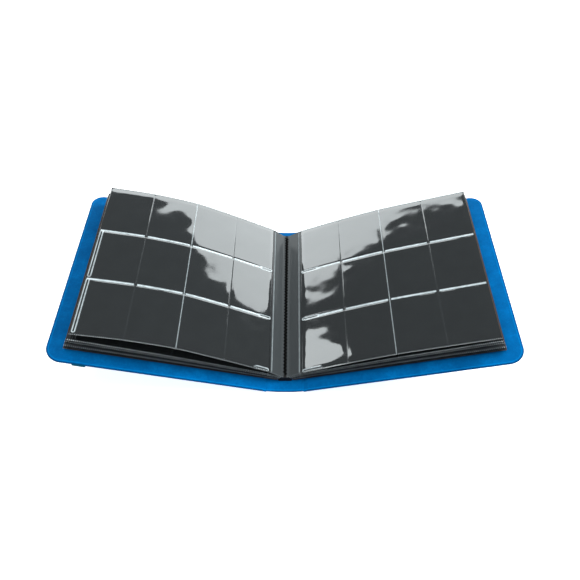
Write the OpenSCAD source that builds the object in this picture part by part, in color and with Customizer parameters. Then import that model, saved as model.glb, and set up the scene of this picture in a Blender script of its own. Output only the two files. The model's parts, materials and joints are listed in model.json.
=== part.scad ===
// A zip-less card album lying open: two soft board covers on a three-part spine, a sewn
// binding block and twenty leaves of side-loading card pockets.
// X runs across the open album, Y from its front edge to its back edge, Z up.
// The origin is the middle of the underside of the spine.

/* [Cover] */
// Width of one cover panel, from its crease to its fore edge
cover_w = 310; // [295:1:320]
// Height of the cover, front edge to back edge
cover_h = 323; // [310:1:340]
// Radius of the two fore-edge corners
corner_r = 22; // [5:1:40]
// Thickness of the outer fabric skin
skin_t = 0.8; // [0.5:0.1:1]
// Thickness of the stiff board
board_t = 1.6; // [1:0.1:2]
// Thickness of the inner lining
lining_t = 0.6; // [0.3:0.1:0.8]

/* [Spine] */
// Width of the flat middle strip of the spine
spine_flat_w = 22; // [20:0.5:24]
// Width of each side strip of the spine
spine_side_w = 17; // [15:0.5:20]
// Thickness of the spine fabric
spine_t = 1.2; // [0.8:0.1:1.2]
// Rise of each side strip, degrees; a cover rises twice as steeply
spine_rise = 8.1; // [7:0.1:9]

/* [Leaves] */
// Leaves on each side of the binding
leaves = 10; // [10:1:10]
// Width of a pocket column
pocket_w = 70; // [68:0.5:71]
// Height of a pocket row
pocket_h = 95; // [92:0.5:98]
// Width of the gutter strip between the binding and the first pocket
strip_w = 22.8; // [21:0.1:24]
// Thickness of the opaque core of a leaf
core_t = 0.2; // [0.1:0.05:0.25]
// Thickness of the clear film on each face
film_t = 0.12; // [0.05:0.01:0.13]
// Air between a film and the core
air = 0.02; // [0.01:0.01:0.03]
// Width of the weld left between neighbouring pockets
weld_w = 2.4; // [1:0.1:4]
// Step from one leaf's root to the next, across and down
root_step = [0.7, 0.84];

/* [Binding] */
// Half width of the sewn block at its top
block_top = 4.7; // [4:0.1:5]
// Height of the sewn block's top above the table
block_z = 11.2; // [10:0.1:11.3]
// Width of the zigzag seam
seam_w = 6.4; // [3:0.1:7]
// Pitch of the zigzag seam
seam_pitch = 6; // [4:0.5:8]

/* [Strap] */
// Width of the elastic strap
strap_w = 18; // [12:1:25]
// Thickness of the elastic strap
strap_t = 1.2; // [0.8:0.1:1.4]
// Distance from the cover's fore edge to the strap
strap_inset = 38; // [15:1:40]
// Length of each strap end that laps onto the outer face of the cover
strap_lap = 5; // [3:0.5:8]

/* [Hidden] */
columns = 4;
rows = 3;
corner_steps = 8;                          // flats in a rounded corner
crease_gap = [0.5, 1.2, 1.45];             // skin, board and lining stop short of a crease
spine_gap = 0.6;                           // and so does the spine fabric
cover_t = skin_t + board_t + lining_t;
cover_rise = 2 * spine_rise;
crease = [spine_flat_w / 2 + spine_side_w * cos(spine_rise), spine_side_w * sin(spine_rise)];
leaf_h = rows * pocket_h;
leaf_root = [5.5, 11.7];                   // root of the top leaf; the others step out and down
tab_w = 3;                                 // part of the top left strip that stays in the binding
fold_gap = 0.2;                            // half the gap at a fold inside a leaf
seam_t = 0.35;
// slopes of a leaf: the gutter strip, then each pocket column
top_left_slopes = [41, 27.5, 25.8, 17, 11.4];
top_right_slopes = [33, 23.2, 21.2, 17.2, 16.6];
upper_slopes = [27.5, 19.6, 19.6, 18, 18];
lower_slopes = [15.5, 16.4, 16.4, 16.4, 16.4];

function lerp(a, b, t) = a + (b - a) * t;
function heading(angle) = [cos(angle), sin(angle)];
function left_of(angle) = [-sin(angle), cos(angle)];
function root_of(k) = leaf_root + [root_step[0] * (k - 1), -root_step[1] * (k - 1)];
function pile_slopes(k) = lerp(upper_slopes, lower_slopes, (k - 2) / (leaves - 2));
// length of stretch i of a leaf: the strip, then the columns
function stretch(i) = i == 0 ? strip_w : pocket_w;
// start of stretch i of the leaf that leaves its root at the given slopes
function joint_at(root, slopes, i) =
    i == 0 ? root : joint_at(root, slopes, i - 1) + stretch(i - 1) * heading(slopes[i - 1]);
// turning of the path at joint i, halved, so two neighbours meet on one mitre
function mitre(slopes, i, first, last) =
    i <= first || i > last ? 0 : (slopes[i] - slopes[i - 1]) / 2;

PILE = [for (side = ["left", "right"], k = [2 : leaves]) [side, k]];

// puts a right-hand piece on the side asked for
module on_side(side) {
    if (side == "left")
        mirror([1, 0, 0]) children();
    else
        children();
}

// a profile in X and Z, drawn out along Y between two places
module drawn_out(y0, y1) {
    translate([0, y1, 0]) rotate([90, 0, 0]) linear_extrude(y1 - y0) children();
}

module on_cover() {
    translate([crease[0], 0, crease[1]]) rotate([0, -cover_rise, 0]) children();
}

// one layer of a cover, from the crease to the rounded fore-edge corners
module cover_layer(from, z, t) {
    reach = cover_w - corner_r;
    half = cover_h / 2;
    turns = [for (i = [0 : corner_steps]) i * 90 / corner_steps];
    front = [for (a = turns) [reach, corner_r - half] + corner_r * heading(a - 90)];
    back = [for (a = turns) [reach, half - corner_r] + corner_r * heading(a)];
    on_cover() translate([0, 0, z]) linear_extrude(t)
        polygon(concat([[from, half], [from, -half]], front, back));
}

module cover_skin(side) {
    color("dodgerblue") on_side(side) cover_layer(crease_gap[0], 0, skin_t);
}

module cover_board(side) {
    color("darkslategray") on_side(side) cover_layer(crease_gap[1], skin_t, board_t);
}

module cover_lining(side) {
    color("royalblue") on_side(side) cover_layer(crease_gap[2], skin_t + board_t, lining_t);
}

module spine_middle() {
    foot = spine_flat_w / 2;
    color("dodgerblue") drawn_out(-cover_h / 2, cover_h / 2)
        polygon([[-foot, 0], [foot, 0], [foot - spine_gap, spine_t], [spine_gap - foot, spine_t]]);
}

module spine_side(side) {
    color("dodgerblue") on_side(side)
        translate([spine_flat_w / 2, 0, 0]) rotate([0, -spine_rise, 0])
            drawn_out(-cover_h / 2, cover_h / 2)
                polygon([[0.1, 0], [spine_side_w - 0.1, 0],
                         [spine_side_w - spine_gap, spine_t], [spine_gap, spine_t]]);
}

// the sewn-through strips of all the leaves, stepped out towards the bottom leaf
module binding_block() {
    shoulder = 10.2;
    foot = 9.6;
    color("black") drawn_out(-leaf_h / 2, leaf_h / 2)
        polygon([[-foot, spine_t], [foot, spine_t], [shoulder, 3.7], [block_top, block_z],
                 [-block_top, block_z], [-shoulder, 3.7]]);
}

// a flat zigzag of thread along the top of the block
module binding_seam() {
    teeth = floor(leaf_h / seam_pitch) - 1;
    thread = 1.3;
    swing = seam_w / 2 - thread / 2;
    zig = [for (i = [0 : 2 * teeth])
           [(i % 2 == 0 ? -1 : 1) * swing, (i - teeth) * seam_pitch / 2]];
    color("black") translate([0, 0, block_z]) linear_extrude(seam_t)
        polygon(concat([for (p = zig) p + [thread / 2, 0]],
                       [for (i = [2 * teeth : -1 : 0]) zig[i] - [thread / 2, 0]]));
}

// a slab of one leaf between stretches first and last, from height low to height high over
// the leaf's middle surface; trim shortens its two ends
module leaf_slab(root, slopes, first, last, low, high, trim) {
    function edge(i, h) =
        let(m = mitre(slopes, i, first, last),
            a = i > last ? slopes[last] : slopes[i] - m,
            end = i == first ? trim[0] : i == last + 1 ? -trim[1] : 0)
        joint_at(root, slopes, i) + end * heading(a) + h / cos(m) * left_of(a);
    polygon(concat([for (i = [first : last + 1]) edge(i, low)],
                   [for (i = [last + 1 : -1 : first]) edge(i, high)]));
}

module leaf_core(side, root, slopes, first, last, trim = [0, 0]) {
    color("dimgray") on_side(side) drawn_out(-leaf_h / 2, leaf_h / 2)
        leaf_slab(root, slopes, first, last, -core_t / 2, core_t / 2, trim);
}

// three rows of clear pocket fronts on both faces of columns first to last
module pocket_films(side, root, slopes, first, last) {
    inset = weld_w / 2;
    near = core_t / 2 + air;
    faces = [[-near - film_t, -near], [near, near + film_t]];
    color("lightsteelblue") on_side(side)
        for (i = [first : last], row = [0 : rows - 1], face = faces)
            drawn_out((row - rows / 2) * pocket_h + inset, (row + 1 - rows / 2) * pocket_h - inset)
                leaf_slab(root, slopes, i, i, face[0], face[1], [inset, inset]);
}

module strap_band() {
    x0 = cover_w - strap_inset - strap_w;
    reach = cover_h / 2 - strap_lap;
    color("deepskyblue") on_side("left") on_cover()
        translate([x0, -reach, -strap_t]) cube([strap_w, 2 * reach, strap_t]);
}

// the strap's two ends, each turned up over an edge of the cover and tucked in under its lining
module strap_ends() {
    x0 = cover_w - strap_inset - strap_w;
    half = cover_h / 2;
    tuck = cover_t - lining_t;
    hook = [[half - strap_lap, -strap_t], [half + strap_t, -strap_t], [half + strap_t, tuck],
            [half, tuck], [half, 0], [half - strap_lap, 0]];
    color("deepskyblue") on_side("left") on_cover()
        for (end = [0, 1]) mirror([0, end, 0])
            translate([x0, 0, 0]) rotate([90, 0, 90]) linear_extrude(strap_w) polygon(hook);
}

spine_middle();
spine_side("left");  // spine_left
spine_side("right");  // spine_right
cover_skin("left");  // cover_left_skin
cover_board("left");  // cover_left_board
cover_lining("left");  // cover_left_lining
cover_skin("right");  // cover_right_skin
cover_board("right");  // cover_right_board
cover_lining("right");  // cover_right_lining
binding_block();
binding_seam();
strap_band();
strap_ends();
leaf_core("left", leaf_root, top_left_slopes, 0, 0, [0, strip_w - tab_w + fold_gap]);  // top_left_tab
leaf_core("left", leaf_root, top_left_slopes, 0, 2, [tab_w + fold_gap, fold_gap]);  // top_left_inner
pocket_films("left", leaf_root, top_left_slopes, 1, 2);  // top_left_inner_pockets
leaf_core("left", leaf_root, top_left_slopes, 3, 3, [fold_gap, fold_gap]);  // top_left_middle
pocket_films("left", leaf_root, top_left_slopes, 3, 3);  // top_left_middle_pockets
leaf_core("left", leaf_root, top_left_slopes, 4, 4, [fold_gap, 0]);  // top_left_outer
pocket_films("left", leaf_root, top_left_slopes, 4, 4);  // top_left_outer_pockets
leaf_core("right", leaf_root, top_right_slopes, 0, 2, [0, fold_gap]);  // top_right_inner
pocket_films("right", leaf_root, top_right_slopes, 1, 2);  // top_right_inner_pockets
leaf_core("right", leaf_root, top_right_slopes, 3, 4, [fold_gap, 0]);  // top_right_outer
pocket_films("right", leaf_root, top_right_slopes, 3, 4);  // top_right_outer_pockets
for (p = PILE) {
    leaf_core(p[0], root_of(p[1]), pile_slopes(p[1]), 0, columns);
    pocket_films(p[0], root_of(p[1]), pile_slopes(p[1]), 1, columns);
}
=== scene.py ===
# An open card album: suede covers, a sewn binding, glossy pocket leaves and an elastic strap.
import json
from math import asin, cos, pi, radians, sin
import bmesh
import bpy
import numpy as np
from mathutils import Matrix
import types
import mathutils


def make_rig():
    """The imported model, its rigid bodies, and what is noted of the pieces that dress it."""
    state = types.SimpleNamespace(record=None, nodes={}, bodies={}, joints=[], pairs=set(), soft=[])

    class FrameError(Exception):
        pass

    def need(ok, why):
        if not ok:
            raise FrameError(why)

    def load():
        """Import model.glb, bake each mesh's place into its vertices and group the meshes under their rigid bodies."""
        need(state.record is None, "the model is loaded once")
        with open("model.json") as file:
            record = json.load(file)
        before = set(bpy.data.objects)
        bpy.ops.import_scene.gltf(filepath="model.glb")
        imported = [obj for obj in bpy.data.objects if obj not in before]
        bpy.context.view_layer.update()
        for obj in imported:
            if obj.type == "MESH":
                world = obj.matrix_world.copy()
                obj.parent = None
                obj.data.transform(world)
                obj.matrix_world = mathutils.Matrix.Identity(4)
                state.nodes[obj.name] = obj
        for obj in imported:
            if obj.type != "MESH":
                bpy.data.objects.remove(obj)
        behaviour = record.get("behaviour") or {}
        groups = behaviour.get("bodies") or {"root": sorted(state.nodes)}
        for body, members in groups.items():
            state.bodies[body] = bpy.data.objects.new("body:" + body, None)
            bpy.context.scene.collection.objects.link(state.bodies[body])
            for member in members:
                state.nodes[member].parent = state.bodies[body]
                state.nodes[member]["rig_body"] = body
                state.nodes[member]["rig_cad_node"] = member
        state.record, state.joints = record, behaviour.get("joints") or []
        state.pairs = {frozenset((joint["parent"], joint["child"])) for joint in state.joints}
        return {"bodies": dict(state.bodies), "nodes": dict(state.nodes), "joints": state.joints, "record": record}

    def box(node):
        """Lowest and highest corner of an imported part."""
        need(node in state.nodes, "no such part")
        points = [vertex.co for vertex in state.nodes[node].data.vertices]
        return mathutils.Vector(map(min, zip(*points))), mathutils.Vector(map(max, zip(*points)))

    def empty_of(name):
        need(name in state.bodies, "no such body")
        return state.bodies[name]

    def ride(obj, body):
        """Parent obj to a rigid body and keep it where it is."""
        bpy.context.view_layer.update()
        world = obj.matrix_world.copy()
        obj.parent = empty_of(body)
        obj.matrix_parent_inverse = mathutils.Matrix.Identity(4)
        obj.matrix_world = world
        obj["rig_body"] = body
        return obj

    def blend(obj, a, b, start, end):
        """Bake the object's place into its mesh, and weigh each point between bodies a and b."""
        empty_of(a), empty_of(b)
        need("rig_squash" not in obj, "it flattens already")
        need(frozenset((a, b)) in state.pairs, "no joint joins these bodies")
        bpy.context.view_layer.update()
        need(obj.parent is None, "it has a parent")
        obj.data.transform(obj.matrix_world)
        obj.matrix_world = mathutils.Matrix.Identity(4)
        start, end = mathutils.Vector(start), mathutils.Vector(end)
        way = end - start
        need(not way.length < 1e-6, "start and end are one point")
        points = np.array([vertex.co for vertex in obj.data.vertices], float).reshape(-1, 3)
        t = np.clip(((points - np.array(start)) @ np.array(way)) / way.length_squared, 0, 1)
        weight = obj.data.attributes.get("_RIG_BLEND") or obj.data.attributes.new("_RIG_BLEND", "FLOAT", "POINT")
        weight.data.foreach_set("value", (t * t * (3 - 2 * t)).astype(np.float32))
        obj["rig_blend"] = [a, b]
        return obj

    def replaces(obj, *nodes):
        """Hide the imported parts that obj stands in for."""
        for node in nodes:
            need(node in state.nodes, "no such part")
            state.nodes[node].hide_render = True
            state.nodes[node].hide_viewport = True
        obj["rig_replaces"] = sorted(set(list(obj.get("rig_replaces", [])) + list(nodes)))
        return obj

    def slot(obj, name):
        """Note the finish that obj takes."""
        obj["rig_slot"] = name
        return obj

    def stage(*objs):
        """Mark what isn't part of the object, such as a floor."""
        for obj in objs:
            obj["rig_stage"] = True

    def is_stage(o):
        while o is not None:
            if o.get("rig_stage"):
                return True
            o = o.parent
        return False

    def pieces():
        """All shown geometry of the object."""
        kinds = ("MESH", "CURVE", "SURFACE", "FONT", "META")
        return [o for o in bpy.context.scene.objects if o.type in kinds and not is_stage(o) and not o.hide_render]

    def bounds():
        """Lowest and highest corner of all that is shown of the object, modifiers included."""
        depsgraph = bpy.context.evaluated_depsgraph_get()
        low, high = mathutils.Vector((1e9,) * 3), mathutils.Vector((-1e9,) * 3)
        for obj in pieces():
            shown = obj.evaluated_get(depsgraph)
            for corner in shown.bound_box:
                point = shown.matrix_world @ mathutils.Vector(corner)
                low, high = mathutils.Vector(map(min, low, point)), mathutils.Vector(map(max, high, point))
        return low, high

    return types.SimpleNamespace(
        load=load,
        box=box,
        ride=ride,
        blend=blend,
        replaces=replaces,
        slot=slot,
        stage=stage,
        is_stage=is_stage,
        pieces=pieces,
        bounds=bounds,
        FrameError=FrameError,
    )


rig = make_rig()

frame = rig.load()
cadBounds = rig.bounds()
nodes = frame["nodes"]
joints = {j["name"]: j for j in frame["joints"]}
mm = 0.001
sides = {"left": -1, "right": 1}

view = {
    "place": (0.0115, -0.5561, 0.7485),
    "yaw": -0.511,      # degrees to the right of straight ahead
    "down": 51.957,
    "roll": -0.204,
    "lens": 35.31,
    "sensor": 36,
}


def addCamera():
    yaw, down, roll = (radians(view[k]) for k in ("yaw", "down", "roll"))
    ahead = np.array([sin(yaw) * cos(down), cos(yaw) * cos(down), -sin(down)])
    across = np.array([cos(yaw), -sin(yaw), 0.0])
    above = np.cross(across, ahead)
    right = cos(roll) * across + sin(roll) * above
    up = cos(roll) * above - sin(roll) * across
    turn = Matrix([list(row) for row in np.column_stack([right, up, -ahead])])
    data = bpy.data.cameras.new("camera")
    data.lens = view["lens"]
    data.sensor_width = view["sensor"]
    camera = bpy.data.objects.new("camera", data)
    camera.matrix_world = Matrix.Translation(view["place"]) @ turn.to_4x4()
    bpy.context.scene.collection.objects.link(camera)
    bpy.context.scene.camera = camera


lamps = {
    # two bright cards behind the album, which only glossy surfaces pick up
    "card": {"place": (0.14, 1.5, 0.74), "turn": (-90, 0, 0), "size": (3.06, 1.38), "power": 92,
             "diffuse": False, "gloss": True},
    "highCard": {"place": (-1.86, 1.5, 1.98), "turn": (-90, 0, 0), "size": (0.62, 0.56), "power": 8.5,
                 "diffuse": False, "gloss": True},
    # a wide soft box overhead, one from the right for the covers, and one low in front
    "overhead": {"place": (-0.45, -0.1, 1.9), "turn": (-4, -13, 0), "size": (1.2, 0.9), "power": 20,
                 "diffuse": True, "gloss": True},
    "side": {"place": (1.5, 0.45, 1.15), "turn": (-14, 52, 0), "size": (1.0, 1.0), "power": 35,
             "diffuse": True, "gloss": False},
    "fill": {"place": (0.9, -1.6, 1.3), "turn": (58, 0, 28), "size": (1.2, 1.2), "power": 8,
             "diffuse": True, "gloss": True},
}

room = {
    "lampTint": (0.92, 0.985, 1.0),
    "air": (0.87, 0.95, 1.0, 1),
    "airStrength": 0.42,
}


def addLight():
    for name, lamp in lamps.items():
        data = bpy.data.lights.new(name, "AREA")
        data.shape = "RECTANGLE"
        data.size, data.size_y = lamp["size"]
        data.energy = lamp["power"]
        data.color = room["lampTint"]
        obj = bpy.data.objects.new(name, data)
        obj.location = lamp["place"]
        obj.rotation_euler = [radians(a) for a in lamp["turn"]]
        obj.visible_camera = False
        obj.visible_diffuse = lamp["diffuse"]
        obj.visible_glossy = lamp["gloss"]
        bpy.context.scene.collection.objects.link(obj)
    world = bpy.data.worlds.new("room")
    world.use_nodes = True
    background = world.node_tree.nodes["Background"]
    background.inputs["Color"].default_value = room["air"]
    background.inputs["Strength"].default_value = room["airStrength"]
    bpy.context.scene.world = world
    bpy.context.scene.view_settings.view_transform = "Standard"


backdrop = {
    "reach": 6.0,          # metres from the album to each side of the floor
    "drop": 0.4,           # mm that the floor lies under it
    "floorPale": 0.9,
    "floorRough": 0.9,
    "floorGlow": 0.75,
    "screenRadius": 5.5,   # metres
    "screenFrom": -0.5,
    "screenTo": 5.5,
    "screenSides": 96,
    "screenGlow": 1.0,
}


def glowingPaint(name, pale, glow):
    # matt paint that also gives off white light
    paint, out = newMaterial(name)
    out.inputs["Base Color"].default_value = (pale, pale, pale, 1)
    out.inputs["Specular IOR Level"].default_value = 0.0
    out.inputs["Emission Color"].default_value = (1, 1, 1, 1)
    out.inputs["Emission Strength"].default_value = glow
    return paint, out


def addFloor():
    # a flat pale sheet far wider than the view
    b = backdrop
    reach = b["reach"]
    corners = [(-reach, -reach, 0), (reach, -reach, 0), (reach, reach, 0), (-reach, reach, 0)]
    mesh = bpy.data.meshes.new("floor")
    mesh.from_pydata(corners, [], [(0, 1, 2, 3)])
    floor = bpy.data.objects.new("floor", mesh)
    floor.location.z = -b["drop"] * mm
    bpy.context.scene.collection.objects.link(floor)
    paint, out = glowingPaint("floorPaint", b["floorPale"], b["floorGlow"])
    out.inputs["Roughness"].default_value = b["floorRough"]
    floor.data.materials.append(paint)
    # a white screen all round, seen only straight on, so that low views have a plain background:
    # two circles of points, one above the other
    count = b["screenSides"]
    turn = np.linspace(0, 2 * pi, count + 1)[:-1]
    ring = np.column_stack([np.cos(turn), np.sin(turn)]) * b["screenRadius"]
    points = np.concatenate([np.column_stack([ring, np.full(count, b["screenFrom"])]),
                             np.column_stack([ring, np.full(count, b["screenTo"])])])
    at = np.arange(count)
    nextAt = np.roll(at, -1)
    quads = np.column_stack([at, at + count, nextAt + count, nextAt])
    screenMesh = bpy.data.meshes.new("screen")
    screenMesh.from_pydata(points.tolist(), [], quads.tolist())
    screen = bpy.data.objects.new("screen", screenMesh)
    bpy.context.scene.collection.objects.link(screen)
    screen.data.materials.append(glowingPaint("screenGlow", 0, b["screenGlow"])[0])
    screen.visible_diffuse = screen.visible_glossy = False
    screen.visible_shadow = screen.visible_transmission = False
    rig.stage(floor, screen)


def newMaterial(name):
    made = bpy.data.materials.new(name)
    made.use_nodes = True
    return made, made.node_tree.nodes["Principled BSDF"]


# short names for wiring one material's nodes
class Wiring:
    def __init__(self, name):
        self.made, self.out = newMaterial(name)
        self.tree = self.made.node_tree

    def node(self, kind, **values):
        made = self.tree.nodes.new(kind)
        for key, value in values.items():
            if hasattr(made, key):
                setattr(made, key, value)
            else:
                made.inputs[key.replace("_", " ")].default_value = value
        return made

    def join(self, source, target):
        self.tree.links.new(source, target)

    def calc(self, kind, a, b=None, c=None):
        step = self.tree.nodes.new("ShaderNodeMath")
        step.operation = kind
        for socket, value in zip(step.inputs, (a, b, c)):
            if value is None:
                continue
            if isinstance(value, (int, float)):
                socket.default_value = value
            else:
                self.join(value, socket)
        return step.outputs[0]

    def noise(self, source, scale, detail=3.0, rough=0.55):
        made = self.node("ShaderNodeTexNoise", Scale=scale, Detail=detail, Roughness=rough)
        self.join(source, made.inputs["Vector"])
        return made.outputs["Fac"]

    def ramp(self, source, low, high, start=0.0, end=1.0):
        # colour low below start, high above end, blended between
        made = self.tree.nodes.new("ShaderNodeMapRange")
        made.inputs["From Min"].default_value = start
        made.inputs["From Max"].default_value = end
        self.join(source, made.inputs["Value"])
        mix = self.tree.nodes.new("ShaderNodeMix")
        mix.data_type = "RGBA"
        mix.inputs["A"].default_value = (*low, 1)
        mix.inputs["B"].default_value = (*high, 1)
        self.join(made.outputs["Result"], mix.inputs["Factor"])
        return mix.outputs["Result"]

    def between(self, source, low, high, start=0.0, end=1.0):
        # number low below start, high above end, blended between
        made = self.tree.nodes.new("ShaderNodeMapRange")
        for key, value in (("From Min", start), ("From Max", end), ("To Min", low), ("To Max", high)):
            made.inputs[key].default_value = value
        self.join(source, made.inputs["Value"])
        return made.outputs["Result"]

    def blendColor(self, factor, a, b):
        mix = self.tree.nodes.new("ShaderNodeMix")
        mix.data_type = "RGBA"
        self.join(factor, mix.inputs["Factor"])
        for socket, value in ((mix.inputs["A"], a), (mix.inputs["B"], b)):
            if isinstance(value, tuple):
                socket.default_value = (*value, 1)
            else:
                self.join(value, socket)
        return mix.outputs["Result"]

    def bump(self, height, depth, strength=1.0, after=None):
        made = self.node("ShaderNodeBump", Strength=strength, Distance=depth)
        self.join(height, made.inputs["Height"])
        if after is not None:
            self.join(after, made.inputs["Normal"])
        return made.outputs["Normal"]

    def places(self):
        return self.tree.nodes.new("ShaderNodeTexCoord").outputs["Object"]

    def chart(self):
        uv = self.tree.nodes.new("ShaderNodeUVMap")
        uv.uv_map = "chart"
        parts = self.tree.nodes.new("ShaderNodeSeparateXYZ")
        self.join(uv.outputs["UV"], parts.inputs["Vector"])
        return parts.outputs["X"], parts.outputs["Y"]


suede = {
    "deep": (0.0, 0.085, 0.265),
    "mid": (0.0, 0.122, 0.365),
    "bright": (0.0, 0.18, 0.52),
    "edge": (0.0, 0.045, 0.15),
    "edgeWidth": 1.1,     # mm of darker cut edge
    "press": (0.0, 0.24, 0.64),
    "pressAt": 2.9,       # mm from the edge to the middle of the pressed line
    "pressWidth": 0.55,
    "patches": 28,        # noise scales: brushed patches, mottle and pile
    "mottle": 260,
    "pile": 1100,
    "rough": 0.92,
    "gloss": 0.04,
    "sheen": 0.3,
    "sheenRough": 0.45,
    "sheenTint": (0.0, 0.5, 1.0, 1),
    "mottleDepth": 0.25,  # mm
    "pileDepth": 0.2,     # mm
}


def suedeMaterial():
    # nap: broad brushed patches, fine mottle and a fuzzy short pile; a darker cut edge
    w = Wiring("blueSuede")
    place = w.places()
    patches = w.noise(place, suede["patches"], 3, 0.6)
    mottle = w.noise(place, suede["mottle"], 4, 0.7)
    fine = w.noise(place, suede["pile"], 3, 0.65)
    blend = w.calc("MULTIPLY_ADD", mottle, 0.35, w.calc("MULTIPLY", patches, 0.55))
    blend = w.calc("MULTIPLY_ADD", fine, 0.30, blend)
    low = w.ramp(blend, suede["deep"], suede["mid"], 0.40, 0.60)
    high = w.ramp(blend, suede["mid"], suede["bright"], 0.60, 0.80)
    color = w.blendColor(w.between(blend, 0, 1, 0.595, 0.605), low, high)
    edge = w.chart()[0]      # distance in from the cut edge
    cut = w.between(edge, 1, 0, suede["edgeWidth"] * 0.4 * mm, suede["edgeWidth"] * 1.3 * mm)
    color = w.blendColor(cut, color, suede["edge"])
    away = w.calc("ABSOLUTE", w.calc("SUBTRACT", edge, suede["pressAt"] * mm))
    color = w.blendColor(w.between(away, 0.5, 0, 0, suede["pressWidth"] * 2 * mm), color, suede["press"])
    w.join(color, w.out.inputs["Base Color"])
    w.out.inputs["Roughness"].default_value = suede["rough"]
    w.out.inputs["Specular IOR Level"].default_value = suede["gloss"]
    w.out.inputs["Sheen Weight"].default_value = suede["sheen"]
    w.out.inputs["Sheen Roughness"].default_value = suede["sheenRough"]
    w.out.inputs["Sheen Tint"].default_value = suede["sheenTint"]
    normal = w.bump(mottle, suede["mottleDepth"] * mm, 0.6)
    w.join(w.bump(fine, suede["pileDepth"] * mm, 0.7, normal), w.out.inputs["Normal"])
    return w.made


film = {
    "core": (0.0125, 0.0138, 0.0142),
    "weld": (0.018, 0.020, 0.021),
    "strip": (0.042, 0.046, 0.048),
    # pale: the colour of the painted highlight that stands in for the film's reflections on its folds, beads, streaks
    # and rims
    "pale": (0.66, 0.72, 0.74),
    "fore": (0.075, 0.05, 0.036),
    "knurlPitch": 2.6,    # mm
    "ribPitch": 1.3,      # mm
    "rough": 0.045,
    "coat": 0.35,
    "coatRough": 0.04,
    "index": 1.5,
    "peelDepth": 0.006,   # mm
    "weldRough": 0.10,    # added on the welds
    "stripRough": 0.32,   # and on the gutter strip
}


def filmMaterial(name, page, gloss):
    # clear film over a black core; chart X runs out from the root and chart Y from the front edge
    columnWidth, rowHeight, strip = page["column"], page["row"], page["strip"]
    w = Wiring(name)
    across, along = w.chart()
    beyond = w.calc("SUBTRACT", across, strip)
    column = w.calc("PINGPONG", beyond, columnWidth / 2)
    row = w.calc("PINGPONG", along, rowHeight / 2)
    nearest = w.calc("MINIMUM", column, row)
    inPocket = w.calc("GREATER_THAN", beyond, 0.0)
    weld = w.calc("MULTIPLY", w.between(nearest, 1, 0, 0.6 * mm, 1.3 * mm), inPocket)
    stripMask = w.calc("LESS_THAN", beyond, -2.0 * mm)
    place = w.places()
    cloud = w.noise(place, 45, 3, 0.5)
    base = w.ramp(cloud, film["core"], tuple(1.18 * c for c in film["core"]), 0.3, 0.7)
    base = w.blendColor(weld, base, film["weld"])
    base = w.blendColor(stripMask, base, film["strip"])
    rimAway = w.calc("PINGPONG", along, 1.5 * rowHeight)
    fore = w.between(w.calc("SUBTRACT", beyond, 4 * columnWidth - 0.55 * mm), 0, 1, 0, 0.1 * mm)
    base = w.blendColor(fore, base, film["fore"])
    # a painted highlight, standing in for the film's reflections of the lamp card, on its folds, beads and weld
    # streaks; by the front and back rims it shows only on the knurled heat seal, which is a row of fine dots
    dot = w.between(w.calc("PINGPONG", across, film["knurlPitch"] / 2 * mm), 0.0, 1, 0.75 * mm, 0.9 * mm)
    dots = w.calc("MAXIMUM", dot, w.calc("GREATER_THAN", rimAway, 2.4 * mm))
    paintedHighlight = w.tree.nodes.new("ShaderNodeAttribute")
    paintedHighlight.attribute_name = "paintedHighlight"
    cloudy = w.between(w.noise(place, 120, 2, 0.5), 0.75, 1.0, 0.35, 0.6)
    # how strongly the painted highlight shows at each place
    pale = w.calc("MULTIPLY", w.calc("MULTIPLY", paintedHighlight.outputs["Fac"], cloudy), dots)
    base = w.blendColor(pale, base, film["pale"])
    w.join(base, w.out.inputs["Base Color"])
    # rougher on the welds and on the gutter strip
    rough = w.calc("MULTIPLY_ADD", stripMask, film["stripRough"], film["rough"] + 0.3 * (1 - gloss))
    rough = w.calc("MULTIPLY_ADD", weld, film["weldRough"], rough)
    w.join(rough, w.out.inputs["Roughness"])
    w.out.inputs["IOR"].default_value = film["index"]
    w.out.inputs["Specular IOR Level"].default_value = 0.5 * gloss
    w.out.inputs["Coat Weight"].default_value = film["coat"] * gloss
    w.out.inputs["Coat Roughness"].default_value = film["coatRough"]
    w.out.inputs["Coat IOR"].default_value = film["index"]
    # fine ribs along the gutter strip, and a very slight orange peel on the film
    rib = w.calc("MULTIPLY", w.calc("PINGPONG", across, film["ribPitch"] / 2 * mm), stripMask)
    peel = w.noise(place, 420, 2, 0.5)
    normal = w.bump(rib, 0.3, 0.5)
    w.join(w.bump(peel, film["peelDepth"] * mm, 1.0, normal), w.out.inputs["Normal"])
    return w.made


def blackLayersMaterial():
    # stacked black strips of the binding, seen at their edges
    w = Wiring("sewnLayers")
    place = w.places()
    parts = w.node("ShaderNodeSeparateXYZ")
    w.join(place, parts.inputs["Vector"])
    layer = w.calc("PINGPONG", parts.outputs["Z"], 0.5 * mm)
    grain = w.noise(place, 300, 3, 0.6)
    color = w.ramp(w.calc("MULTIPLY_ADD", grain, 0.5, w.calc("MULTIPLY", layer, 900)),
                   (0.002, 0.002, 0.002), (0.012, 0.011, 0.011), 0.2, 0.8)
    w.join(color, w.out.inputs["Base Color"])
    w.out.inputs["Roughness"].default_value = 0.6
    w.out.inputs["Specular IOR Level"].default_value = 0.12
    w.join(w.bump(layer, 0.3, 0.5), w.out.inputs["Normal"])
    return w.made


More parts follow.
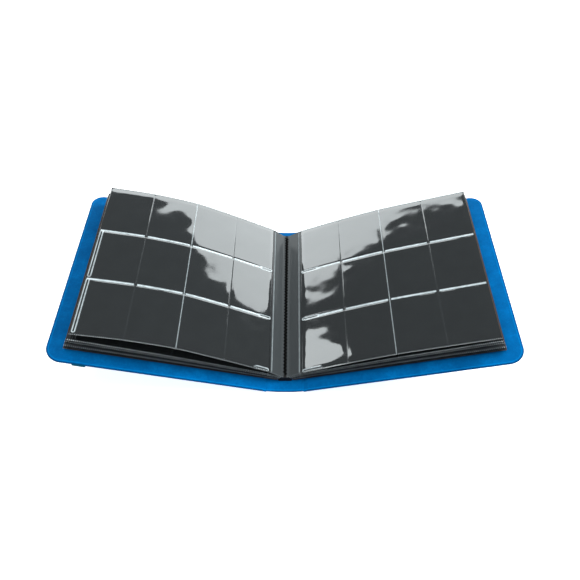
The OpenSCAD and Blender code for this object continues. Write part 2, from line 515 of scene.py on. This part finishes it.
def threadMaterial():
    # black sewing thread: fine twist and a little lint
    w = Wiring("blackThread")
    place = w.places()
    twist = w.node("ShaderNodeTexWave", Scale=900.0, Distortion=1.5, Detail=2.0)
    w.join(place, twist.inputs["Vector"])
    lint = w.noise(place, 700, 3, 0.7)
    color = w.ramp(lint, (0.0006, 0.0006, 0.0006), (0.003, 0.003, 0.003), 0.3, 0.8)
    w.join(color, w.out.inputs["Base Color"])
    w.out.inputs["Roughness"].default_value = 0.85
    w.out.inputs["Specular IOR Level"].default_value = 0.02
    w.join(w.bump(twist.outputs["Fac"], 0.12 * mm, 0.6), w.out.inputs["Normal"])
    return w.made


def elasticMaterial():
    # ribbed woven elastic: rows of picks across and cords along, chart X across and Y along
    w = Wiring("blueElastic")
    across, along = w.chart()
    cord = w.calc("PINGPONG", across, 0.55 * mm)
    pick = w.calc("PINGPONG", along, 0.4 * mm)
    weave = w.calc("ADD", w.calc("MULTIPLY", cord, 1100), w.calc("MULTIPLY", pick, 1000))
    fuzz = w.noise(w.places(), 900, 3, 0.6)
    both = w.calc("MULTIPLY_ADD", fuzz, 0.4, w.calc("MULTIPLY", weave, 0.6))
    w.join(w.ramp(both, (0.0, 0.03, 0.055), (0.0, 0.10, 0.17), 0.2, 0.9), w.out.inputs["Base Color"])
    w.out.inputs["Roughness"].default_value = 0.85
    w.out.inputs["Specular IOR Level"].default_value = 0.1
    w.join(w.bump(weave, 0.12 * mm, 0.7), w.out.inputs["Normal"])
    return w.made


def addMesh(name, points, quads, material, chart=None):
    # points n by 3, quads m by 4; chart holds one pair for each point
    mesh = bpy.data.meshes.new(name)
    mesh.vertices.add(len(points))
    mesh.vertices.foreach_set("co", points.astype(np.float32).ravel())
    mesh.loops.add(quads.size)
    mesh.loops.foreach_set("vertex_index", quads.astype(np.int32).ravel())
    mesh.polygons.add(len(quads))
    mesh.polygons.foreach_set("loop_start", np.arange(0, quads.size, 4, dtype=np.int32))
    mesh.polygons.foreach_set("loop_total", np.full(len(quads), 4, dtype=np.int32))
    mesh.update(calc_edges=True)
    mesh.polygons.foreach_set("use_smooth", np.ones(len(quads), dtype=bool))
    if chart is not None:
        layer = mesh.uv_layers.new(name="chart")
        layer.data.foreach_set("uv", chart[quads.ravel()].astype(np.float32).ravel())
    mesh.materials.append(material)
    obj = bpy.data.objects.new(name, mesh)
    bpy.context.scene.collection.objects.link(obj)
    return obj


def gridQuads(rows, columns, first=0):
    # quads of a grid whose points are stored row after row
    at = first + np.arange(rows * columns).reshape(rows, columns)
    return np.stack([at[:-1, :-1], at[1:, :-1], at[1:, 1:], at[:-1, 1:]], axis=-1).reshape(-1, 4)


def closedSheet(name, top, bottom, material, chart, paintedHighlight=None):
    # two grids of one layout, joined round their rims into a closed shell, faces outwards;
    # shine holds how pale each point of the top and of the bottom is: a painted highlight, which the film material
    # reads
    rows, columns = top.shape[:2]
    count = rows * columns
    at = np.arange(count).reshape(rows, columns)
    rim = np.concatenate([at[:-1, 0], at[-1, :-1], at[:0:-1, -1], at[0, :0:-1]])
    ring = np.stack([rim, rim + count, np.roll(rim, -1) + count, np.roll(rim, -1)], axis=-1)
    quads = np.concatenate([gridQuads(rows, columns),
                            gridQuads(rows, columns, count)[:, ::-1], ring[:, ::-1]])
    points = np.concatenate([top.reshape(-1, 3), bottom.reshape(-1, 3)])
    edgeA = points[quads[0, 1]] - points[quads[0, 0]]
    edgeB = points[quads[0, 3]] - points[quads[0, 0]]
    up = top[0, 0] - bottom[0, 0]
    if np.dot(np.cross(edgeA, edgeB), up) < 0:
        quads = quads[:, ::-1]
    flat = chart.reshape(-1, 2)
    piece = addMesh(name, points, quads, material, np.concatenate([flat, flat]))
    if paintedHighlight is not None:
        layer = piece.data.attributes.new("paintedHighlight", "FLOAT", "POINT")
        values = np.concatenate([paintedHighlight[0].ravel(), paintedHighlight[1].ravel()])
        layer.data.foreach_set("value", values.astype(np.float32))
    return piece


def smoothStep(value):
    t = np.clip(value, 0, 1)
    return t * t * (3 - 2 * t)


# mm from a weld or rim to each row of points, on the open pages and on the leaves below them
fineEdge = (0, 0.4, 0.8, 1.2, 1.6, 2.0, 2.5, 3.0, 3.5, 4.0, 4.6, 5.2, 5.8, 6.5, 7.4, 9)
plainEdge = (0, 0.5, 1.1, 1.8, 2.7, 4.5, 8)


def cutLines(start, end):
    # a hair's breadth inside each end, so that the shading of a cut stays at the cut
    hair = 0.03 * mm
    return np.array([start, start + hair, end - hair, end])


def spacedLines(start, end, top):
    # places from start to end: close together by both ends and wider apart between
    near = np.array(fineEdge if top else plainEdge) * mm
    middleStep = 2.8 * mm if top else 10 * mm
    count = max(2, int(round((end - start - 2 * near[-1]) / middleStep)))
    middle = np.linspace(start + near[-1], end - near[-1], count + 1)[1:-1]
    return np.concatenate([start + near, middle, end - near[::-1]])


leafShape = {
    "rise": {"top": 0.3, "pile": 0.06},       # mm that the pocket films stand up on the upper face
    "under": {"top": 0.12, "pile": 0.05},      # and on the lower face
    "half": {"top": 0.12, "pile": 0.20},       # half the thickness at the welds and rims
    "weld": 1.0,           # half width of a weld
    "shoulder": {"row": 3.2, "column": 6.5, "rim": 8.0},   # widths of the slopes from a weld up to the film
    "swell": 0.09,         # height of the broad waves in the film
    "ripple": 0.022,       # and of the short ones
    "dip": 0.22,            # share of the rise that the film loses at a column weld
    "bend": 30,            # how far to each side a bend is spread
    "lip": 3.4,            # how far the strip runs on over the binding block
    "stray": 0.5,          # how far a leaf below may lie out of line
}


def meshPoints(name):
    mesh = nodes[name].data
    found = np.empty(3 * len(mesh.vertices))
    mesh.vertices.foreach_get("co", found)
    return found.reshape(-1, 3)


def leafLine(names):
    # the middle line of a leaf from its root outwards, from the corners of its core's front end
    corners = np.concatenate([meshPoints(n) for n in names])
    front = corners[corners[:, 1] < corners[:, 1].min() + 0.1 * mm][:, [0, 2]]
    front = front[np.argsort(np.abs(front[:, 0]))]
    breaks = np.nonzero(np.diff(np.abs(front[:, 0])) > 1 * mm)[0] + 1
    return np.array([group.mean(axis=0) for group in np.split(front, breaks)])


def bentLine(knots, lengths, places, reach):
    # straight stretches whose direction turns smoothly over reach to each side of every bend,
    # as the running sum of the direction; gives the points and their upward normals
    run = np.diff(lengths)
    heading = np.arctan2(*np.diff(knots, axis=0).T[::-1])
    fine = np.linspace(lengths[0], lengths[-1], 6001)
    angle = np.full_like(fine, heading[0])
    for i in range(1, len(run)):
        near = min(reach, 0.48 * run[i - 1], 0.48 * run[i])
        angle += (heading[i] - heading[i - 1]) * smoothStep((fine - lengths[i]) / (2 * near) + 0.5)
    ahead = np.column_stack([np.cos(angle), np.sin(angle)])
    path = knots[0] + np.concatenate([[[0, 0]], np.cumsum(ahead[:-1], axis=0) * (fine[1] - fine[0])])
    point = np.column_stack([np.interp(places, fine, path[:, k]) for k in (0, 1)])
    turn = np.interp(places, fine, angle)
    normal = np.column_stack([-np.sin(turn), np.cos(turn)]) * np.sign(np.cos(turn))[:, None]
    return point, normal


def waves(across, along, seed, short, long, count):
    # sine waves in random directions, their heights in step with their lengths, scaled to about one
    rng = np.random.default_rng(seed)
    total = np.zeros_like(across)
    for wave in range(count):
        length = rng.uniform(short, long) * mm
        angle = rng.uniform(0, pi)
        phase = rng.uniform(0, 2 * pi)
        total += np.sin(2 * pi * (across * cos(angle) + along * sin(angle)) / length + phase) * length
    return total * 2.2 / ((short + long) * mm * count ** 0.5)


def stadium(across, along, a, b, radius, width):
    # a raised bead round the line from a to b: a bell curve of the distance from the stadium's outline
    ab = np.array(b) - np.array(a)
    t = np.clip(((across - a[0]) * ab[0] + (along - a[1]) * ab[1]) / (ab @ ab), 0, 1)
    away = np.hypot(across - a[0] - t * ab[0], along - a[1] - t * ab[1]) - radius
    return np.exp(-((away / width) ** 2))


def weldAway(across, along, page):
    # distances to the nearest column weld, row weld and front or back rim
    column = (across - page["strip"]) % page["column"]
    row = along % page["row"]
    rim = np.minimum(along, 3 * page["row"] - along)
    return np.minimum(column, page["column"] - column), np.minimum(row, page["row"] - row), rim


def pocketRise(across, along, page):
    # film height over the core: level in a pocket, down to nothing at its welds
    s = leafShape
    column, row, rim = weldAway(across, along, page)

    def fall(away, kind):
        return smoothStep((away - s["weld"] * mm) / (s["shoulder"][kind] * mm))

    rows = np.minimum(fall(row, "row"), fall(rim, "rim"))
    columns = 1 - s["dip"] * (1 - fall(column, "column"))
    fade = smoothStep((across - page["strip"]) / (6 * mm)) \
        * smoothStep((page["strip"] + 4 * page["column"] - across) / (6 * mm))
    return np.where(across > page["strip"], columns * rows * fade, 0.0)


folds = {
    "beadAt": 4.4,         # mm from the pockets back to the bead along the gutter
    "loopIn": 3.2,         # mm from the pockets to the loops at the welds' gutter ends
    "loopLong": {"left": 17, "right": 25},
    "loopRadius": 1.9,
    "foreIn": 4.2,         # mm from the fore edge to the middle of the long loops
    # a fold's bright line is a painted highlight along its bead
    "line": 0.6,          # width of a fold's bright line
}


def pageFoldsAndHighlights(across, along, page, side):
    # folds and beads in the film: their height in metres, and how pale each place is, a painted highlight where the
    # film would mirror the lamp card behind
    f = folds
    reach = page["strip"] + 4 * page["column"]
    column, row, rim = weldAway(across, along, page)
    bead = np.exp(-(((across - page["strip"] + f["beadAt"] * mm) / (0.8 * mm)) ** 2))
    loops = np.zeros_like(across)
    radius, line = f["loopRadius"] * mm, f["line"] * mm
    start = page["strip"] + f["loopIn"] * mm
    for weld in (3.4 * mm, page["row"], 2 * page["row"]):
        end = start + f["loopLong"][side] * mm
        loops = np.maximum(loops, stadium(across, along, (start, weld), (end, weld), radius, line))
    if side == "left":
        at = reach - f["foreIn"] * mm
        for k in (0, 1):
            low, high = k * page["row"] + 6 * mm, (k + 1) * page["row"] - 2 * mm
            loops = np.maximum(loops, stadium(across, along, (at, low), (at, high), radius, line))
    inPocket = across > page["strip"]
    streak = np.exp(-((row / (1.6 * mm)) ** 4)) * smoothStep((column - 1.6 * mm) / (1.6 * mm))
    streak = streak * (rim > 10 * mm)
    streak = streak * smoothStep((across - start - (f["loopLong"][side] - 3) * mm) / (3 * mm))
    middle = np.exp(-(((across - page["strip"] - 2 * page["column"]) / (0.55 * mm)) ** 2))
    frontLine = np.exp(-(((rim - 1.0 * mm) / (0.6 * mm)) ** 2))
    # painted highlights: the weld streaks, loops, middle crease and front rim are made pale where their slopes would
    # catch the card's reflection
    pale = np.maximum.reduce([0.95 * streak, 1.0 * loops, 0.55 * middle, 0.28 * frontLine])
    groove = np.exp(-((column / (0.75 * mm)) ** 2)) * (middle < 0.01) * smoothStep((row - 2 * mm) / (2 * mm))
    height = (0.14 * loops + 0.12 * streak - 0.24 * groove) * mm
    # on the gutter strip, a painted highlight on the bead and the front rim
    pale = np.where(inPocket, pale, np.maximum(0.42 * bead, 0.18 * frontLine))
    height = np.where(inPocket, height, 0.5 * bead * mm)
    return height, pale


def addLeaf(name, cores, side, material, page, start, end, kind, seed):
    # one stretch of a leaf, from start to end measured out from its root
    s = leafShape
    knots = leafLine(cores)
    lengths = np.concatenate([[0], np.cumsum(np.linalg.norm(np.diff(knots, axis=0), axis=1))])
    top = kind == "top"
    if top:
        lip = s["lip"] * mm
        knots = np.concatenate([[knots[0] - (sides[side] * lip, 0.2 * mm)], knots])
        lengths = np.concatenate([[-lip], lengths])
    lines = []
    if start < page["strip"]:
        last = min(end, page["strip"])
        lines.append(np.linspace(start, last, max(3, int((last - start) / (0.4 * mm if top else 3 * mm)))))
    for column in range(4):
        a = page["strip"] + column * page["column"]
        if a >= start - 1e-6 and a + page["column"] <= end + 1e-6:
            lines.append(spacedLines(a, a + page["column"], top))
    lines.append(cutLines(start, end))
    u = np.unique(np.round(np.concatenate(lines), 7))
    v = np.unique(np.round(np.concatenate(
        [spacedLines(r * page["row"], (r + 1) * page["row"], top) for r in range(3)]), 7))
    line, normal = bentLine(knots, lengths, u, s["bend"] * mm)
    across, along = np.meshgrid(u, v, indexing="ij")
    pocket = pocketRise(across, along, page)
    swell = waves(across, along, seed, 38, 90, 7) * s["swell"] * mm
    high = s["half"][kind] * mm + s["rise"][kind] * mm * pocket
    low = -s["half"][kind] * mm - s["under"][kind] * mm * pocket
    shift = np.zeros(2)
    if top:
        rise, pale = pageFoldsAndHighlights(across, along, page, side)
        high += rise + (swell + waves(across, along, seed + 5, 16, 34, 9) * s["ripple"] * mm) * pocket
        low += 0.3 * swell * pocket
    else:
        rng = np.random.default_rng(seed)
        shift = rng.uniform(-s["stray"], s["stray"], 2) * mm
        column, row, rim = weldAway(across, along, page)
        # painted highlights on the leaves below: a pale streak along the row welds and, at a random strength for each
        # leaf, on the front and back rims
        streak = np.exp(-((row / (1.4 * mm)) ** 4)) * smoothStep((column - 1.6 * mm) / (1.6 * mm))
        paintedRimHighlight = rng.choice([0.0, 0.05, 0.45, 0.7])
        pale = np.where(rim < 1.6 * mm, paintedRimHighlight, 0.5 * streak * (across > page["strip"]))

    def lifted(height):
        place = np.empty(across.shape + (3,))
        place[..., 0] = line[:, 0, None] + normal[:, 0, None] * height
        place[..., 1] = along - 1.5 * page["row"] + shift[1]
        place[..., 2] = line[:, 1, None] + normal[:, 1, None] * height
        return place

    chart = np.stack([across, along], axis=-1)
    piece = closedSheet(name, lifted(high), lifted(low), material, chart, (pale, 0.6 * pale))
    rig.slot(piece, "pocket_film")

    def at(place):
        x, z = bentLine(knots, lengths, np.array([place]), s["bend"] * mm)[0][0]
        return x, 0, z

    return piece, at


def addLeaves(page):
    glossy = filmMaterial("pocketFilm", page, 1.0)
    gutter = filmMaterial("gutterFilm", page, 0.3)
    lower = filmMaterial("lowerFilm", page, 0.35)      # leaves whose faces never show
    strip, column = page["strip"], page["column"]
    reach = strip + 4 * column
    lip = leafShape["lip"] * mm
    leftCores = ["top_left_tab", "top_left_inner", "top_left_middle", "top_left_outer"]
    rightCores = ["top_right_inner", "top_right_outer"]
    # name, side, stretch, the two bodies and where one gives way to the other, the nodes it stands for
    stretches = [
        ("pageLeftLip", "left", -lip, 1.6 * mm, "base", "left_tab", -1.6 * mm, 1.5 * mm, leftCores[:1]),
        ("pageLeftStrip", "left", 1.6 * mm, strip, "left_tab", "left_inner", 1.7 * mm, 9 * mm, []),
        ("pageLeftInner", "left", strip, strip + 3 * column, "left_inner", "left_middle",
         strip + 1.7 * column, strip + 2.3 * column, leftCores[1:3]),
        ("pageLeftOuter", "left", strip + 3 * column, reach, "left_middle", "left_outer",
         strip + 3 * column, strip + 3.35 * column, leftCores[3:]),
        ("pageRightStrip", "right", -lip, strip, "base", "right_inner", -1.6 * mm, 1.6 * mm, []),
        ("pageRight", "right", strip, reach, "right_inner", "right_outer",
         strip + 1.7 * column, strip + 2.3 * column, rightCores),
    ]
    for name, side, start, end, bodyA, bodyB, give, take, cores in stretches:
        allCores = leftCores if side == "left" else rightCores
        seed = 3 if side == "left" else 11
        finish = glossy if start >= strip else gutter
        piece, at = addLeaf(name, allCores, side, finish, page, start, end, "top", seed)
        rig.blend(piece, bodyA, bodyB, at(give), at(take))
        films = [core + "_pockets" for core in cores if core + "_pockets" in nodes]
        if cores:
            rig.replaces(piece, *cores, *films)
    for side in sides:
        for k in range(2, 11):
            core = f"leaf_{side}_{k}"
            finish = glossy if k == 2 else lower
            name = f"leaf{side.title()}{k}"
            piece = addLeaf(name, [core], side, finish, page, 0.0, reach, "pile", 20 + k)[0]
            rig.ride(piece, f"{side}_leaf_{k}")
            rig.replaces(piece, core, f"pockets_{side}_{k}")


coverShape = {
    "thick": 3.0,          # mm, fabric, board and lining together
    "corner": 22,          # mm radius of the fore-edge corners
    "edge": 0.9,           # rounding of the cut edge
    "press": 2.6,          # the pressed line runs this far inside the edge
    "pressDepth": 0.28,
    "ramp": 6.0,           # length over which the spine fabric thickens to the board
    "bend": 5,             # how far to each side of a crease the bend is spread
    "spineShort": 0.9,     # the spine section stops this much short of the boards
    # mm in from the edge to each row of points
    "edgeRows": (0, 0.15, 0.35, 0.6, 0.9, 1.3, 1.7, 2.0, 2.3, 2.6, 2.9, 3.2, 3.6, 4.4, 6, 9, 13),
}


def coverLine(side):
    # the underside of the fabric from the middle of the spine to the fore edge, from the two hinge lines
    sign = sides[side]
    a = np.array(joints[f"{side}_spine_fold"]["pos_m"])[[0, 2]] * (sign, 1)
    b = np.array(joints[f"{side}_cover_crease"]["pos_m"])[[0, 2]] * (sign, 1)
    skin = meshPoints(f"cover_{side}_skin")
    far = skin[np.argmax(np.abs(skin[:, 0]) - skin[:, 2] * 1e-3)]
    lowest = skin[np.abs(skin[:, 0]) > np.abs(far[0]) - 0.01 * mm]
    c = np.array([np.abs(lowest[:, 0]).max(), lowest[np.argmax(np.abs(lowest[:, 0])), 2]])
    return np.array([[0.0, 0.0], a, b, c])


def addCover(side, material):
    s = coverShape
    sign = sides[side]
    knots = coverLine(side)
    lengths = np.concatenate([[0], np.cumsum(np.linalg.norm(np.diff(knots, axis=0), axis=1))])
    reach = lengths[-1]
    low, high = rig.box(f"cover_{side}_skin")
    half = (high[1] - low[1]) / 2
    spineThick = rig.box("spine_middle")[1][2]
    boardThick = s["thick"] * mm
    corner = s["corner"] * mm
    crease = lengths[2]
    midStrip = (lengths[1] + lengths[2]) / 2
    near = np.array(s["edgeRows"]) * mm
    inner = np.linspace(-1, 1, 41)

    def panel(name, start, end):
        bends = np.concatenate([lengths[1] + np.linspace(-6, 6, 17) * mm,
                                crease + np.linspace(-9, 9, 37) * mm])
        turning = reach - corner + corner * np.sin(np.linspace(0, pi / 2, 26))
        u = np.concatenate([np.linspace(0, reach - corner, 56), bends, turning, reach - near,
                            cutLines(start, end)])
        u = np.unique(np.round(u[(u >= start - 1e-9) & (u <= end + 1e-9)], 6))
        width = np.full_like(u, half)
        past = np.clip(u - (reach - corner), 0, corner)
        width = width - corner + np.sqrt(np.maximum(corner ** 2 - past ** 2, 0))
        onSpine = smoothStep((crease - u) / (0.6 * mm) + 0.5)
        width = width - onSpine * s["spineShort"] * mm
        t = np.concatenate([-width[:, None] + near, inner[1:-1] * (width[:, None] - near[-1]),
                            width[:, None] - near[::-1]], axis=1)
        line, normal = bentLine(knots, lengths, u, s["bend"] * mm)
        uu = np.repeat(u[:, None], t.shape[1], axis=1)
        # distance inside the outline: a rounded rectangle's
        qu = uu - (reach - corner)
        qt = np.abs(t) - (width.max() - corner)
        outside = np.hypot(np.maximum(qu, 0), np.maximum(qt, 0)) + np.minimum(np.maximum(qu, qt), 0) - corner
        inside = np.maximum(-outside, 0)
        inside = np.where(u[:, None] < crease, np.minimum(inside, width[:, None] - np.abs(t)), inside)
        inside = np.minimum(inside, np.maximum(width[:, None] - np.abs(t), 0))
        slope = smoothStep((u - crease - 1.0 * mm) / (s["ramp"] * mm))[:, None]
        thick = spineThick + (boardThick - spineThick) * slope
        edge = np.minimum(s["edge"] * mm, thick / 2.2)
        k = np.clip(inside / edge, 0, 1)
        drop = edge * (1 - np.sqrt(1 - (1 - k) ** 2))
        press = s["pressDepth"] * mm * np.exp(-(((inside - s["press"] * mm) / (0.45 * mm)) ** 2))
        groove = 0.45 * mm * np.exp(-(((uu - crease) / (1.1 * mm)) ** 2))
        topOffset = thick - drop - press - groove
        bottomOffset = drop + press

        def lifted(offset):
            place = np.empty(t.shape + (3,))
            place[..., 0] = sign * (line[:, :1] + normal[:, :1] * offset)
            place[..., 1] = t
            place[..., 2] = line[:, 1:] + normal[:, 1:] * offset
            return place

        chart = np.stack([inside, t], axis=-1)
        return closedSheet(name, lifted(topOffset), lifted(bottomOffset), material, chart)

    def at(place):
        x, z = bentLine(knots, lengths, np.array([place]), s["bend"] * mm)[0][0]
        return sign * x, 0, z

    title = side.title()
    spine = panel(f"spine{title}", 0.0, midStrip)
    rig.blend(spine, "base", f"{side}_spine", at(lengths[1] - 4 * mm), at(lengths[1] + 4 * mm))
    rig.slot(spine, "suede")
    cover = panel(f"cover{title}", midStrip, reach)
    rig.blend(cover, f"{side}_spine", f"{side}_cover", at(crease - 4 * mm), at(crease + 4 * mm))
    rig.replaces(cover, f"spine_{side}", f"cover_{side}_skin", f"cover_{side}_board", f"cover_{side}_lining")
    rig.slot(cover, "suede")
    return spine


seam = {
    "pitch": 6.0,          # mm from turn to turn on one side
    "swing": 2.45,         # mm to each side of the middle
    "thick": 0.72,         # mm, radius of the thread before it is pressed flat
    "flat": (1.25, 0.75),  # shares of that radius across and upwards
    "segments": 8,         # sides of its section, which its end caps need to be eight
}


def addSeam(material):
    # a round thread whose middle line is a zigzag with rounded turns, lying on the binding block
    low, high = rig.box("binding_seam")
    count = int((high[1] - low[1]) / (seam["pitch"] * mm))
    y = np.linspace(low[1] + 0.5 * mm, high[1] - 0.5 * mm, count * 16 + 1)
    phase = (y - y[0]) / (seam["pitch"] * mm) * 2 * pi
    x = seam["swing"] * mm * np.arcsin(0.985 * np.sin(phase)) / asin(0.985)
    center = np.column_stack([x, y, np.full_like(y, high[2] + 0.2 * mm)])
    ahead = np.gradient(center, axis=0)
    ahead /= np.linalg.norm(ahead, axis=1, keepdims=True)
    across = np.cross(ahead, [0, 0, 1])
    turn = np.linspace(0, 2 * pi, seam["segments"], endpoint=False)
    wide, tall = seam["flat"]
    ring = (across[:, None] * np.cos(turn)[None, :, None] * wide
            + np.array([0, 0, tall]) * np.sin(turn)[None, :, None]) * seam["thick"] * mm
    points = (center[:, None] + ring).reshape(-1, 3)
    n, m = len(y), seam["segments"]
    at = np.arange(n * m).reshape(n, m)
    nextAt = np.roll(at, -1, axis=1)
    quads = np.stack([at[:-1], nextAt[:-1], nextAt[1:], at[1:]], axis=-1).reshape(-1, 4)
    ends = np.array([[0, 3, 2, 1], [0, 7, 4, 3], [4, 7, 6, 5]])      # an eight-sided end in three quads
    caps = np.concatenate([ends, (n - 1) * m + ends[:, ::-1]])
    quads = np.concatenate([quads, caps])
    piece = addMesh("seamThread", points, quads, material)
    tidyNormals(piece)
    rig.ride(piece, "base")
    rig.replaces(piece, "binding_seam")
    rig.slot(piece, "thread")


def tidyNormals(piece):
    work = bmesh.new()
    work.from_mesh(piece.data)
    bmesh.ops.recalc_face_normals(work, faces=work.faces)
    work.to_mesh(piece.data)
    work.free()


strap = {
    "corner": 1.2,         # mm radius of its turn round the cover's edge
    "lining": 0.6,         # thickness of the lining that it is tucked under
    "cover": 3.0,          # and of the cover
    "bulge": 0.7,          # share of its thickness that it swells at the edge
    "held": 0.55,          # share of its half length from which the band is free
}


def addStrap(material):
    # the band: a flat ribbon with softly rounded edges along the cover's outer face
    skin = meshPoints("strap_band")
    low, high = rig.box("strap_band")
    b = np.array(joints["left_cover_crease"]["pos_m"])
    slide = np.array(joints["strap_stretch"]["axis"])      # out of the cover's outer face
    along = np.array([slide[2], 0, -slide[0]])              # up the cover, towards the fore edge
    if along[0] > 0:
        along = -along
    depth = (skin - b) @ slide
    reach = (skin - b) @ along
    near, far = reach.min(), reach.max()
    thick = depth.max() - depth.min()
    middle = (near + far) / 2
    halfWidth = (far - near) / 2

    def ribbon(name, pathY, pathD, swell):
        # a flat oval section carried along a path in the plane of Y and the cover's outward direction
        path = np.column_stack([pathY, pathD])
        gone = np.concatenate([[0], np.cumsum(np.linalg.norm(np.diff(path, axis=0), axis=1))])
        ahead = np.gradient(path, axis=0)
        ahead /= np.linalg.norm(ahead, axis=1, keepdims=True)
        side = np.column_stack([ahead[:, 1], -ahead[:, 0]])
        turn = np.linspace(0, 2 * pi, 28, endpoint=False)
        across = np.sign(np.cos(turn)) * np.abs(np.cos(turn)) ** 0.35 * halfWidth
        out = np.sign(np.sin(turn)) * np.abs(np.sin(turn)) ** 0.6 * thick / 2
        wave = swell[:, None]
        place = (b + (middle + across[None, :, None]) * along
                 + (path[:, None, 1:] + side[:, None, 1:] * out[None, :, None] * wave[..., None]) * slide)
        place[..., 1] = path[:, None, 0] + side[:, None, 0] * out[None, :] * wave
        n, m = place.shape[:2]
        at = np.arange(n * m).reshape(n, m)
        nextAt = np.roll(at, -1, axis=1)
        quads = np.stack([at[:-1], nextAt[:-1], nextAt[1:], at[1:]], axis=-1).reshape(-1, 4)
        half = m // 2
        i = np.arange(half - 1)
        cap = np.stack([i, i + 1, m - 2 - i, m - 1 - i], axis=-1)
        quads = np.concatenate([quads, cap, (n - 1) * m + cap[:, ::-1]])
        chart = np.stack(np.broadcast_arrays(across[None, :] + halfWidth, gone[:, None]), axis=-1)
        piece = addMesh(name, place.reshape(-1, 3), quads, material, chart.reshape(-1, 2))
        tidyNormals(piece)
        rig.slot(piece, "elastic")
        return piece

    # the band in two halves, held by the cover at its end and free in the middle
    for end, name in ((low[1], "strapBandFront"), (high[1], "strapBandBack")):
        y = np.linspace(end, 0, 40)
        band = ribbon(name, y, np.full_like(y, thick / 2), np.ones_like(y))
        at = b + middle * along
        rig.blend(band, "left_cover", "strap", (at[0], end, at[2]), (at[0], end * strap["held"], at[2]))
        if end < 0:
            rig.replaces(band, "strap_band")
    for sign, name in ((-1, "strapEndFront"), (1, "strapEndBack")):
        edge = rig.box("strap_ends")[1][1] - thick
        start = high[1] - 1 * mm
        radius = strap["corner"] * mm
        # along the outer face, up round the edge in two soft quarter turns, and in under the lining
        quarter = np.linspace(0, pi / 2, 9)
        d0, d1 = thick / 2, (strap["lining"] - strap["cover"]) * mm + thick / 2
        yTop = edge + thick / 2
        path = np.concatenate([
            np.column_stack([np.linspace(start, yTop - radius, 5, endpoint=False), np.full(5, d0)]),
            np.column_stack([yTop - radius + radius * np.sin(quarter),
                             d0 - radius + radius * np.cos(quarter)]),
            np.column_stack([yTop - radius + radius * np.cos(quarter),
                             d1 + radius - radius * np.sin(quarter)]),
            np.column_stack([np.linspace(yTop - radius, yTop - 3 * radius, 6)[1:], np.full(5, d1)])])
        swell = 1 + strap["bulge"] * np.sin(np.linspace(0, pi, len(path))) ** 2
        piece = ribbon(name, sign * path[:, 0], path[:, 1], swell)
        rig.ride(piece, "left_cover")
        if sign < 0:
            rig.replaces(piece, "strap_ends")


def pageSizes():
    # gutter strip, column width and row height in metres, from one leaf's core
    low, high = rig.box("leaf_right_5")
    steps = np.linalg.norm(np.diff(leafLine(["leaf_right_5"]), axis=0), axis=1)
    return {"strip": float(steps[0]), "column": float(steps[1:].mean()), "row": float((high[1] - low[1]) / 3)}


addCamera()
addFloor()
addLight()
print("camera, floor and light")
addLeaves(pageSizes())
print("leaves")
blueSuede = suedeMaterial()
spineLeft = addCover("left", blueSuede)
addCover("right", blueSuede)
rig.replaces(spineLeft, "spine_middle")
print("covers and spine")
addSeam(threadMaterial())
addStrap(elasticMaterial())
block = nodes["binding_block"]
block.data.materials.clear()
block.data.materials.append(blackLayersMaterial())
print("binding and strap")

json.dump({"cad": [list(map(float, c)) for c in cadBounds],
           "visual": [list(map(float, c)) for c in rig.bounds()]}, open("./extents.json", "w"))
